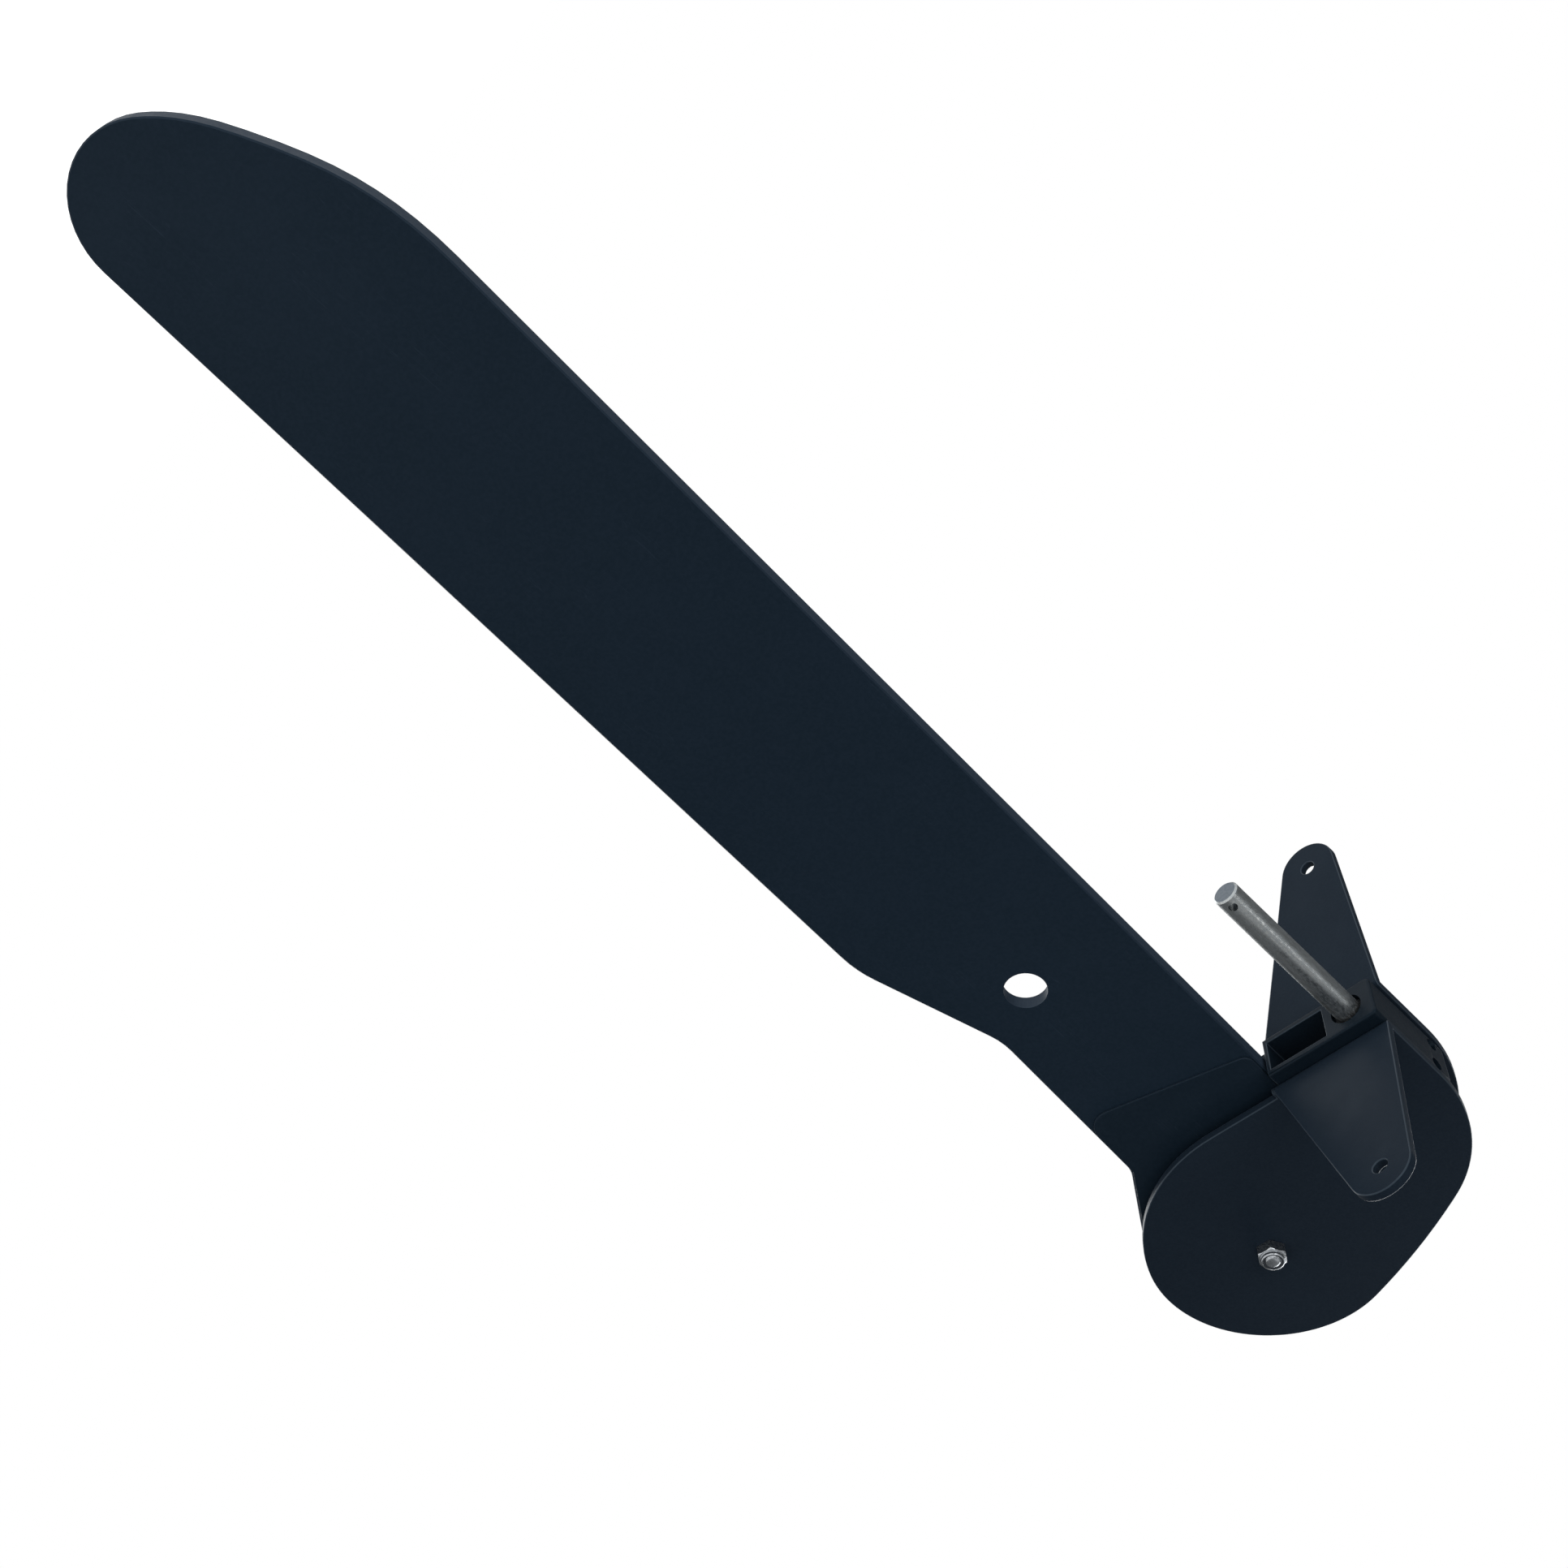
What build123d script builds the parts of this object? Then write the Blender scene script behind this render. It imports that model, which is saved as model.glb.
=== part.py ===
from build123d import *
import math
import os

os.makedirs("parts", exist_ok=True)

# Flip-up kayak rudder, shown with the blade deployed.
# A steering head made of two bent side plates and a pin bracket turns on a
# vertical pintle pin, and the blade swings between the plates on a cross bolt.
#
# Frame: origin on the pintle axis, level with the underside of the pin bracket.
# +X points aft, +Y points to starboard and +Z points up. Millimetres.

INCH = 25.4

# Pintle pin, 3/8 inch stainless rod
pin_d = 0.375 * INCH
pin_r = pin_d / 2
pin_below = 66.3
pin_above = 33.0
pin_chamfer = 0.6
journal_r = 4.6
cotter_d = 3.2
cotter_z = -62.5
groove_z = 30.6
groove_w = 1.2
groove_r = 3.9
ring_r = 6.1
pin_washer_r = 6.6
pin_washer_t = 1.4

# Pin bracket, a cast box between the side plates
bracket_front = -10.7
bracket_aft = 34.4
bracket_half = 9.5
bracket_bottom = 0.2
bracket_top = 43.2
bracket_aft_top = 20.0
web_t = 3.0
wall_t = 2.6
aft_wall_t = 1.6
aft_wall_top = 12.0
flange_t = 3.0
flange_aft = 9.4
flange_hole_d = 12.2
shelf_z = 26.0
shelf_t = 3.0
shelf_hole_d = 10.0
line_hole_d = 5.0
line_hole_y = 5.2
line_hole_z = 36.3
bracket_corner_r = 2.0
bracket_nose_r = 1.0

# Pivot of the blade and the round head around it
pivot_x = 84.0
pivot_z = 66.0
head_r = 46.0

# Side plates, 1/8 inch sheet, each bent outwards into a steering arm
plate_t = 3.2
plate_in = bracket_half
plate_out = plate_in + plate_t
plate_front = -11.5
plate_bottom = 8.0
plate_corner_r = 58.0
crown_slope = 19.5
brow_slope = 29.8
brow_x = 20.0
brow_z = 87.0
belly_r = 65.0
arm_root_z = 5.0
arm_root_aft = 37.2
arm_droop = 6.9
arm_hole_x = -0.4
arm_hole_y = 80.4
arm_hole_d = 5.5
arm_end_r = 11.5
bend_inner_r = 1.2
bend_outer_r = 2.2

# Blade, 1/4 inch sheet
blade_t = 6.35
blade_half = blade_t / 2
blade_rake = 1.8
blade_edge_break = 0.5
tip_x = 75.4
tip_z = -457.6
tip_r = 27.0
tip_start = -128.0
tip_span = 125.8
sweep_z = -388.0
sweep_bend = [(28.1, -425.7), (39.3, -452.7)]
shoulder_x = 115.4
shoulder_z = -124.8
shoulder_r = 45.0
waist_x = 98.2
waist_z = -67.3
waist_r = 28.0
nape_x = 103.1
nape_z = 9.8
nape_r = 10.0
blade_hole_x = 76.3
blade_hole_z = -79.8
blade_hole_d = 15.5
blade_step_d = 16.4
blade_step_depth = 2.1

# Wear pads on both faces of the blade head
pad_t = 1.0
pad_out = blade_half + pad_t
pad_inset = 0.8
pad_front_z = -7.5
pad_aft_x = 100.2
pad_aft_z = -21.0
pad_front_r = 4.0
pad_aft_r = 8.0

# Line drums on both sides of the blade head
drum_r = 30.0
drum_t = 4.2
drum_out = pad_out + drum_t
drum_chamfer = 0.5
anchor_hole_d = 4.0
anchor_radius = 25.0
rivet_d = 4.0
rivet_circle = 17.0
rivet_count = 3
rivet_head_d = 7.0
rivet_head_t = 0.7

# Pivot fastener, M6
bolt_r = 3.0
bolt_hole_r = 3.1
bolt_head_af = 10.0
bolt_head_t = 4.0
bolt_end_chamfer = 0.7
washer_t = 1.6
washer_r = 6.0
nut_af = 10.0
nut_hex_t = 4.4
nut_t = 6.0
nut_collar_r = 4.4
nut_chamfer = 0.3
insert_r = 3.8
insert_z = 4.2
insert_t = 1.3
bolt_proud = 0.4
bush_r = 6.0
bush_bore_r = 3.05
thrust_r = 12.0
thrust_t = 1.0


# ---------------------------------------------------------------- pintle pin
with BuildPart() as pintle_pin:
    # the free end turns in the hull socket
    with BuildSketch(Plane.XY.offset(-pin_below)):
        Circle(pin_r)
    extrude(amount=pin_below)
    # the journal above it is a little thinner
    with BuildSketch(Plane.XY):
        Circle(journal_r)
    extrude(amount=pin_above)
    rims = pintle_pin.edges().filter_by(GeomType.CIRCLE).sort_by(Axis.Z)
    chamfer((rims[0], rims[-1]), length=pin_chamfer)
    # cross hole for the split ring under the hull socket
    with BuildSketch(Plane.XZ.offset(-pin_d)):
        with Locations((0, cotter_z)):
            Circle(cotter_d / 2)
    extrude(amount=2 * pin_d, mode=Mode.SUBTRACT)
    # groove for the retaining ring
    with BuildSketch(Plane.XY.offset(groove_z)):
        Circle(pin_r + 1)
        Circle(groove_r, mode=Mode.SUBTRACT)
    extrude(amount=groove_w, mode=Mode.SUBTRACT)
pintle_pin.part.label = "pintle_pin"
export_step(pintle_pin.part, "parts/pintle_pin.step")

with BuildPart() as pin_washer:
    with BuildSketch(Plane.XY.offset(shelf_z + shelf_t + 0.1)):
        Circle(pin_washer_r)
        Circle(journal_r + 0.1, mode=Mode.SUBTRACT)
    extrude(amount=pin_washer_t)
pin_washer.part.label = "pin_washer"
export_step(pin_washer.part, "parts/pin_washer.step")

# open external ring that sits in the groove above the washer
with BuildPart() as pin_retaining_ring:
    with BuildSketch(Plane.XY.offset(groove_z + 0.05)):
        Circle(ring_r)
        Circle(groove_r, mode=Mode.SUBTRACT)
        # the ring's open side
        with Locations((ring_r, 0)):
            Rectangle(2 * ring_r - groove_r, groove_r, mode=Mode.SUBTRACT)
    extrude(amount=groove_w - 0.1)
pin_retaining_ring.part.label = "pin_retaining_ring"
export_step(pin_retaining_ring.part, "parts/pin_retaining_ring.step")


# --------------------------------------------------------------- pin bracket
with BuildPart() as pin_bracket:
    # side view of the box, full height at the web and lower aft
    with BuildSketch(Plane.XZ):
        with BuildLine():
            Polyline(
                (bracket_front, bracket_bottom),
                (bracket_aft, bracket_bottom),
                (bracket_aft, bracket_aft_top),
                (flange_aft, bracket_top),
                (bracket_front, bracket_top),
                close=True,
            )
        make_face()
    extrude(amount=bracket_half, both=True)
    fillet(
        pin_bracket.edges().filter_by(Axis.Z).group_by(Axis.X)[0],
        radius=bracket_corner_r,
    )
    # open inside, from the web to the aft wall
    with BuildSketch(Plane.XY.offset(-1)):
        with Locations(((bracket_front + web_t + bracket_aft - aft_wall_t) / 2, 0)):
            Rectangle(
                bracket_aft - aft_wall_t - bracket_front - web_t,
                2 * (bracket_half - wall_t),
            )
    extrude(amount=bracket_top + 2, mode=Mode.SUBTRACT)
    # the aft wall is only a low lip
    with BuildSketch(Plane.XY.offset(aft_wall_top)):
        with Locations((bracket_aft, 0)):
            Rectangle(2 * aft_wall_t + 2, 2 * (bracket_half - wall_t))
    extrude(amount=bracket_top, mode=Mode.SUBTRACT)
    # bottom flange and the shelf above it carry the pin
    for bottom, top in ((bracket_bottom, flange_t), (shelf_z, shelf_z + shelf_t)):
        with BuildSketch(Plane.XY.offset(bottom)):
            with Locations(((bracket_front + web_t + flange_aft) / 2 - 0.5, 0)):
                Rectangle(flange_aft - bracket_front - web_t + 1, 2 * bracket_half - 2)
        extrude(amount=top - bottom)
    with BuildSketch(Plane.XY.offset(-1)):
        Circle(flange_hole_d / 2)
    extrude(amount=flange_t + 1, mode=Mode.SUBTRACT)
    with BuildSketch(Plane.XY.offset(shelf_z - 1)):
        Circle(shelf_hole_d / 2)
    extrude(amount=shelf_t + 2, mode=Mode.SUBTRACT)
    # two holes in the web for the lift line and the lower line
    with BuildSketch(Plane.YZ.offset(bracket_front - 1)):
        with Locations((-line_hole_y, line_hole_z), (line_hole_y, line_hole_z)):
            Circle(line_hole_d / 2)
    extrude(amount=web_t + 1, mode=Mode.SUBTRACT)
    bottom_front = (
        pin_bracket.edges()
        .filter_by(Axis.Y)
        .filter_by(lambda e: abs(e.center().X - bracket_front) < 0.01)
        .sort_by(Axis.Z)[0]
    )
    fillet(bottom_front, radius=bracket_nose_r)
pin_bracket.part.label = "pin_bracket"
export_step(pin_bracket.part, "parts/pin_bracket.step")

# plastic bush between the flange and the shelf
with BuildPart() as pin_bush:
    with BuildSketch(Plane.XY.offset(flange_t)):
        Circle(bracket_half - wall_t - 0.1)
        Circle(journal_r + 0.05, mode=Mode.SUBTRACT)
    extrude(amount=shelf_z - flange_t)
pin_bush.part.label = "pin_bush"
export_step(pin_bush.part, "parts/pin_bush.step")


# --------------------------------------------------------------- side plates
crown_x = pivot_x - head_r * math.sin(math.radians(crown_slope))
crown_z = pivot_z + head_r * math.cos(math.radians(crown_slope))
brow_chord = math.hypot(crown_x - brow_x, crown_z - brow_z)
brow_turn = math.radians(brow_slope - crown_slope)
brow_r = brow_chord / 2 / math.sin(brow_turn / 2)
corner_z = brow_z - (brow_x - plate_front) * math.tan(math.radians(brow_slope))
belly_z = plate_bottom + belly_r
belly_x = pivot_x - math.sqrt((belly_r - head_r) ** 2 - (belly_z - pivot_z) ** 2)
belly_end = math.degrees(math.atan2(pivot_z - belly_z, pivot_x - belly_x))

droop = math.radians(arm_droop)
arm_plane = Plane(
    origin=(0, -plate_in, arm_root_z),
    x_dir=(1, 0, 0),
    z_dir=(0, -math.sin(droop), math.cos(droop)),
)
arm_reach = (arm_hole_y - plate_in) / math.cos(droop)
aft_angle = math.atan2(arm_reach, arm_root_aft - arm_hole_x)
aft_span = math.hypot(arm_reach, arm_root_aft - arm_hole_x)
aft_tangent = aft_angle - math.acos(arm_end_r / aft_span)

with BuildPart() as port_side_plate:
    # cheek beside the blade head
    with BuildSketch(Plane.XZ.offset(plate_in)):
        with BuildLine():
            Polyline(
                (belly_x, plate_bottom),
                (arm_root_aft, plate_bottom),
                (arm_root_aft, arm_root_z),
                (plate_front, arm_root_z),
                (plate_front, corner_z),
                (brow_x, brow_z),
            )
            RadiusArc((brow_x, brow_z), (crown_x, crown_z), brow_r)
            CenterArc(
                (pivot_x, pivot_z), head_r, belly_end, 90 + crown_slope - belly_end
            )
            CenterArc((belly_x, belly_z), belly_r, -90, 90 + belly_end)
        make_face()
        front_corner = vertices().sort_by_distance((plate_front, corner_z))[0]
        fillet(front_corner, radius=plate_corner_r)
    extrude(amount=plate_t)
    # steering arm, sloping down a little towards its end
    with BuildSketch(arm_plane):
        with BuildLine():
            arm_edge = Polyline(
                (plate_front, -arm_reach),
                (plate_front, 0),
                (arm_root_aft, 0),
                (
                    arm_hole_x + arm_end_r * math.cos(aft_tangent),
                    -arm_reach + arm_end_r * math.sin(aft_tangent),
                ),
            )
            ThreePointArc(
                arm_edge @ 1,
                (arm_hole_x, -arm_reach - arm_end_r),
                arm_edge @ 0,
            )
        make_face()
    extrude(amount=plate_t)
    with BuildSketch(arm_plane.offset(-1)):
        with Locations((arm_hole_x, -arm_reach)):
            Circle(arm_hole_d / 2)
    extrude(amount=plate_t + 2, mode=Mode.SUBTRACT)
    with BuildSketch(Plane.XZ):
        with Locations((pivot_x, pivot_z)):
            Circle(bolt_hole_r)
    extrude(amount=plate_out + 1, mode=Mode.SUBTRACT)
    # the bend between cheek and arm
    bend_lines = port_side_plate.edges().filter_by(Axis.X)
    inner_bend = bend_lines.filter_by(lambda e: abs(e.center().Y + plate_out) < 0.05)
    outer_bend = bend_lines.filter_by(lambda e: abs(e.center().Y + plate_in) < 0.05)
    fillet(inner_bend.sort_by(Axis.Z)[0], radius=bend_inner_r)
    fillet(outer_bend.sort_by(Axis.Z)[0], radius=bend_outer_r)
port_side_plate.part.label = "port_side_plate"
export_step(port_side_plate.part, "parts/port_side_plate.step")

with BuildPart() as starboard_side_plate:
    mirror(port_side_plate.part, about=Plane.XZ)
starboard_side_plate.part.label = "starboard_side_plate"
export_step(starboard_side_plate.part, "parts/starboard_side_plate.step")


# --------------------------------------------------------------------- blade
rake = math.radians(blade_rake)
front_x = pivot_x - head_r * math.cos(rake)
front_z = pivot_z + head_r * math.sin(rake)


def front_edge_x(z):
    """X of the blade's straight front edge at height z."""
    return front_x - (front_z - z) * math.tan(rake)


def aft_tangent_point(x, z, radius):
    """Where a line from (x, z) below the head touches the aft side of a circle about the pivot."""
    reach = math.hypot(x - pivot_x, z - pivot_z)
    angle = math.atan2(z - pivot_z, x - pivot_x) + math.acos(radius / reach)
    return pivot_x + radius * math.cos(angle), pivot_z + radius * math.sin(angle)


with BuildPart() as rudder_blade:
    with BuildSketch(Plane.XZ.offset(-blade_half)):
        with BuildLine():
            tip_arc = CenterArc((tip_x, tip_z), tip_r, tip_start, tip_span)
            Line((front_x, front_z), (front_edge_x(sweep_z), sweep_z))
            Spline(
                (front_edge_x(sweep_z), sweep_z),
                *sweep_bend,
                tip_arc @ 0,
                tangents=[(-math.sin(rake), -math.cos(rake)), tip_arc % 0],
            )
            Polyline(
                tip_arc @ 1,
                (shoulder_x, shoulder_z),
                (waist_x, waist_z),
                (nape_x, nape_z),
                aft_tangent_point(nape_x, nape_z, head_r),
                (pivot_x, pivot_z),
                (front_x, front_z),
            )
        make_face()
        with Locations((pivot_x, pivot_z)):
            Circle(head_r)
        shoulder = vertices().sort_by_distance((shoulder_x, shoulder_z))[0]
        fillet(shoulder, radius=shoulder_r)
        waist = vertices().sort_by_distance((waist_x, waist_z))[0]
        fillet(waist, radius=waist_r)
        nape = vertices().sort_by_distance((nape_x, nape_z))[0]
        fillet(nape, radius=nape_r)
    extrude(amount=blade_t)
    chamfer(
        rudder_blade.faces().filter_by(Axis.Y).edges(),
        length=blade_edge_break,
    )
    # hole in the neck, stepped from the starboard face
    with BuildSketch(Plane.XZ.offset(-blade_half - 1)):
        with Locations((blade_hole_x, blade_hole_z)):
            Circle(blade_hole_d / 2)
    extrude(amount=blade_t + 2, mode=Mode.SUBTRACT)
    with BuildSketch(Plane.XZ.offset(-blade_half)):
        with Locations((blade_hole_x, blade_hole_z)):
            Circle(blade_step_d / 2)
    extrude(amount=blade_step_depth, mode=Mode.SUBTRACT)
    with BuildSketch(Plane.XZ.offset(-blade_half - 1)):
        with Locations((pivot_x, pivot_z)):
            Circle(bush_r)
            with PolarLocations(rivet_circle, rivet_count, start_angle=90):
                Circle(rivet_d / 2)
        with Locations((pivot_x, pivot_z)):
            with PolarLocations(anchor_radius, 2, start_angle=30, angular_range=240):
                Circle(anchor_hole_d / 2)
    extrude(amount=blade_t + 2, mode=Mode.SUBTRACT)
rudder_blade.part.label = "rudder_blade"
export_step(rudder_blade.part, "parts/rudder_blade.step")

# thin wear pad that follows the blade head and ends in a low step on the neck
with BuildPart() as port_wear_pad:
    with BuildSketch(Plane.XZ.offset(blade_half)):
        with BuildLine():
            Polyline(
                (front_x + pad_inset, front_z),
                (front_edge_x(pad_front_z) + pad_inset, pad_front_z),
                (pad_aft_x, pad_aft_z),
                (nape_x - pad_inset, nape_z),
                aft_tangent_point(nape_x - pad_inset, nape_z, head_r - pad_inset),
                (pivot_x, pivot_z),
                close=True,
            )
        make_face()
        with Locations((pivot_x, pivot_z)):
            Circle(head_r - pad_inset)
        lower_front = vertices().sort_by_distance((front_edge_x(pad_front_z), pad_front_z))[0]
        fillet(lower_front, radius=pad_front_r)
        lower_aft = vertices().sort_by_distance((pad_aft_x, pad_aft_z))[0]
        fillet(lower_aft, radius=pad_aft_r)
        with Locations((pivot_x, pivot_z)):
            Circle(bush_r, mode=Mode.SUBTRACT)
            with PolarLocations(rivet_circle, rivet_count, start_angle=90):
                Circle(rivet_d / 2, mode=Mode.SUBTRACT)
            with PolarLocations(anchor_radius, 2, start_angle=30, angular_range=240):
                Circle(anchor_hole_d / 2, mode=Mode.SUBTRACT)
    extrude(amount=pad_t)
port_wear_pad.part.label = "port_wear_pad"
export_step(port_wear_pad.part, "parts/port_wear_pad.step")

with BuildPart() as starboard_wear_pad:
    mirror(port_wear_pad.part, about=Plane.XZ)
starboard_wear_pad.part.label = "starboard_wear_pad"
export_step(starboard_wear_pad.part, "parts/starboard_wear_pad.step")

# drum that the lift line or the lower line winds on, beside the blade
with BuildPart() as port_line_drum:
    with BuildSketch(Plane.XZ.offset(pad_out)):
        with Locations((pivot_x, pivot_z)):
            Circle(drum_r)
            Circle(bush_r, mode=Mode.SUBTRACT)
            with PolarLocations(rivet_circle, rivet_count, start_angle=90):
                Circle(rivet_d / 2, mode=Mode.SUBTRACT)
            with PolarLocations(anchor_radius, 2, start_angle=30, angular_range=240):
                Circle(anchor_hole_d / 2, mode=Mode.SUBTRACT)
    extrude(amount=drum_t)
    chamfer(
        port_line_drum.faces().sort_by(Axis.Y)[0].outer_wire().edges(),
        length=drum_chamfer,
    )
port_line_drum.part.label = "port_line_drum"
export_step(port_line_drum.part, "parts/port_line_drum.step")

with BuildPart() as starboard_line_drum:
    mirror(port_line_drum.part, about=Plane.XZ)
starboard_line_drum.part.label = "starboard_line_drum"
export_step(starboard_line_drum.part, "parts/starboard_line_drum.step")

# three rivets clamp both drums and both pads to the blade
with BuildPart() as drum_rivets:
    with BuildSketch(Plane.XZ.offset(-drum_out - rivet_head_t)):
        with Locations((pivot_x, pivot_z)):
            with PolarLocations(rivet_circle, rivet_count, start_angle=90):
                Circle(rivet_d / 2)
    extrude(amount=2 * (drum_out + rivet_head_t))
    for start in (-drum_out - rivet_head_t, drum_out):
        with BuildSketch(Plane.XZ.offset(start)):
            with Locations((pivot_x, pivot_z)):
                with PolarLocations(rivet_circle, rivet_count, start_angle=90):
                    Circle(rivet_head_d / 2)
        extrude(amount=rivet_head_t)
drum_rivets.part.label = "drum_rivets"
export_step(drum_rivets.part, "parts/drum_rivets.step")

with BuildPart() as blade_bush:
    with BuildSketch(Plane.XZ.offset(-drum_out)):
        with Locations((pivot_x, pivot_z)):
            Circle(bush_r)
            Circle(bush_bore_r, mode=Mode.SUBTRACT)
    extrude(amount=2 * drum_out)
blade_bush.part.label = "blade_bush"
export_step(blade_bush.part, "parts/blade_bush.step")


# ---------------------------------------------------------- pivot fastener
with BuildPart() as port_thrust_washer:
    with BuildSketch(Plane.XZ.offset(plate_in - thrust_t)):
        with Locations((pivot_x, pivot_z)):
            Circle(thrust_r)
            Circle(bolt_hole_r, mode=Mode.SUBTRACT)
    extrude(amount=thrust_t)
port_thrust_washer.part.label = "port_thrust_washer"
export_step(port_thrust_washer.part, "parts/port_thrust_washer.step")

with BuildPart() as starboard_thrust_washer:
    mirror(port_thrust_washer.part, about=Plane.XZ)
starboard_thrust_washer.part.label = "starboard_thrust_washer"
export_step(starboard_thrust_washer.part, "parts/starboard_thrust_washer.step")

with BuildPart() as pivot_washer:
    with BuildSketch(Plane.XZ.offset(-plate_out - washer_t)):
        with Locations((pivot_x, pivot_z)):
            Circle(washer_r)
            Circle(bolt_hole_r, mode=Mode.SUBTRACT)
    extrude(amount=washer_t)
pivot_washer.part.label = "pivot_washer"
export_step(pivot_washer.part, "parts/pivot_washer.step")

with BuildPart() as pivot_bolt:
    head_seat = plate_out + washer_t
    with BuildSketch(Plane.XZ.offset(-head_seat - bolt_head_t)):
        with Locations((pivot_x, pivot_z)):
            RegularPolygon(bolt_head_af / 2, 6, major_radius=False)
    extrude(amount=bolt_head_t)
    with BuildSketch(Plane.XZ.offset(-head_seat)):
        with Locations((pivot_x, pivot_z)):
            Circle(bolt_r)
    extrude(amount=head_seat + plate_out + nut_t + bolt_proud)
    chamfer(
        pivot_bolt.faces().sort_by(Axis.Y)[0].edges(),
        length=bolt_end_chamfer,
    )
pivot_bolt.part.label = "pivot_bolt"
export_step(pivot_bolt.part, "parts/pivot_bolt.step")

# self-locking nut: hexagon, round collar and a plastic ring inside the collar
with BuildPart() as pivot_locknut:
    with BuildSketch(Plane.XZ.offset(plate_out)):
        with Locations((pivot_x, pivot_z)):
            RegularPolygon(nut_af / 2, 6, major_radius=False)
    extrude(amount=nut_hex_t)
    with BuildSketch(Plane.XZ.offset(plate_out)):
        with Locations((pivot_x, pivot_z)):
            Circle(nut_collar_r)
    extrude(amount=nut_t)
    with BuildSketch(Plane.XZ.offset(plate_out - 1)):
        with Locations((pivot_x, pivot_z)):
            Circle(bolt_r)
    extrude(amount=nut_t + 2, mode=Mode.SUBTRACT)
    with BuildSketch(Plane.XZ.offset(plate_out + insert_z)):
        with Locations((pivot_x, pivot_z)):
            Circle(insert_r)
    extrude(amount=nut_t, mode=Mode.SUBTRACT)
    chamfer(
        pivot_locknut.faces().sort_by(Axis.Y)[0].outer_wire().edges(),
        length=nut_chamfer,
    )
pivot_locknut.part.label = "pivot_locknut"
export_step(pivot_locknut.part, "parts/pivot_locknut.step")

with BuildPart() as locknut_insert:
    with BuildSketch(Plane.XZ.offset(plate_out + insert_z)):
        with Locations((pivot_x, pivot_z)):
            Circle(insert_r)
            Circle(bolt_r, mode=Mode.SUBTRACT)
    extrude(amount=insert_t)
locknut_insert.part.label = "locknut_insert"
export_step(locknut_insert.part, "parts/locknut_insert.step")
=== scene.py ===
"""Looks for a flip-up kayak rudder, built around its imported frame.

The frame gives every piece its place and its motion. This script rounds the edges of the coated
plates, the bracket and the wear pads. It models the pivot bolt, its washer, its lock nut and the
rivets in full, and gives each piece a procedural finish. Lengths are in metres, +X points aft,
+Y to starboard and +Z up.
"""

import logging
import math
from collections.abc import Callable
from dataclasses import dataclass
from enum import Enum

import bmesh
import bpy
from mathutils import Matrix, Vector

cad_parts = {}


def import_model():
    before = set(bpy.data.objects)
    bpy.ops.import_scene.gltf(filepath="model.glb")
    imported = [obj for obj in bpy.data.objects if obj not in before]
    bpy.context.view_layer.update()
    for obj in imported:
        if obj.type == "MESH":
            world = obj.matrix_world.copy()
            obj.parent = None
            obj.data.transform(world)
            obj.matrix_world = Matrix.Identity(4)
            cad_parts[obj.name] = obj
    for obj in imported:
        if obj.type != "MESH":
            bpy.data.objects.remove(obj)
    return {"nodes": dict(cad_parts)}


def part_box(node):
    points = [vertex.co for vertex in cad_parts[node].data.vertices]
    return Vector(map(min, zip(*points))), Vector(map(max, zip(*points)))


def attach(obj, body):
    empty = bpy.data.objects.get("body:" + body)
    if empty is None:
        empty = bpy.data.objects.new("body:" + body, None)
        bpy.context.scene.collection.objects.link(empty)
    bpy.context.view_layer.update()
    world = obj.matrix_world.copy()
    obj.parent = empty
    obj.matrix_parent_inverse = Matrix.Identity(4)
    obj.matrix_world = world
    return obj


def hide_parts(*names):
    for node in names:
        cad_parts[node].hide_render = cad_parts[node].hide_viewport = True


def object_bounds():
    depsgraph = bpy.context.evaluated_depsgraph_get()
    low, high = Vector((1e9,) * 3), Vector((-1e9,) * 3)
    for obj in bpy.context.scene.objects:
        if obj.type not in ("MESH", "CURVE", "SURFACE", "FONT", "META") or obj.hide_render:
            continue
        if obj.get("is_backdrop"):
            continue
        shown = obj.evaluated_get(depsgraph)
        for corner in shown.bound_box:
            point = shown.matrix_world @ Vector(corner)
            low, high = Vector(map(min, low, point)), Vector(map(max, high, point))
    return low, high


LOG = logging.getLogger("kayak_rudder")
MM = 0.001
SHARP = math.radians(34.0)
FOLDED = math.radians(150.0)
WELD = 0.002 * MM
FLAT = math.radians(0.5)
SLIVER = 0.01 * MM
SHORT_EDGE = 0.6
SMOOTH_PLATES, SMOOTH_STEEL, SMOOTH_RIVETS = 32.0, 38.0, 40.0
FLAT_FACE_WEIGHT = 90
WHITE = (1.0, 1.0, 1.0, 1.0)
Triple = tuple[float, float, float]
Colour = Triple
Ring = list[bmesh.types.BMVert]


class Body(Enum):
    """The moving bodies that modelled pieces ride on."""

    HEAD = "head"
    BLADE = "blade"


class Grain(Enum):
    """How a surface's fine relief is shaped."""

    PEBBLE = "pebble"
    CAST = "cast"


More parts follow.
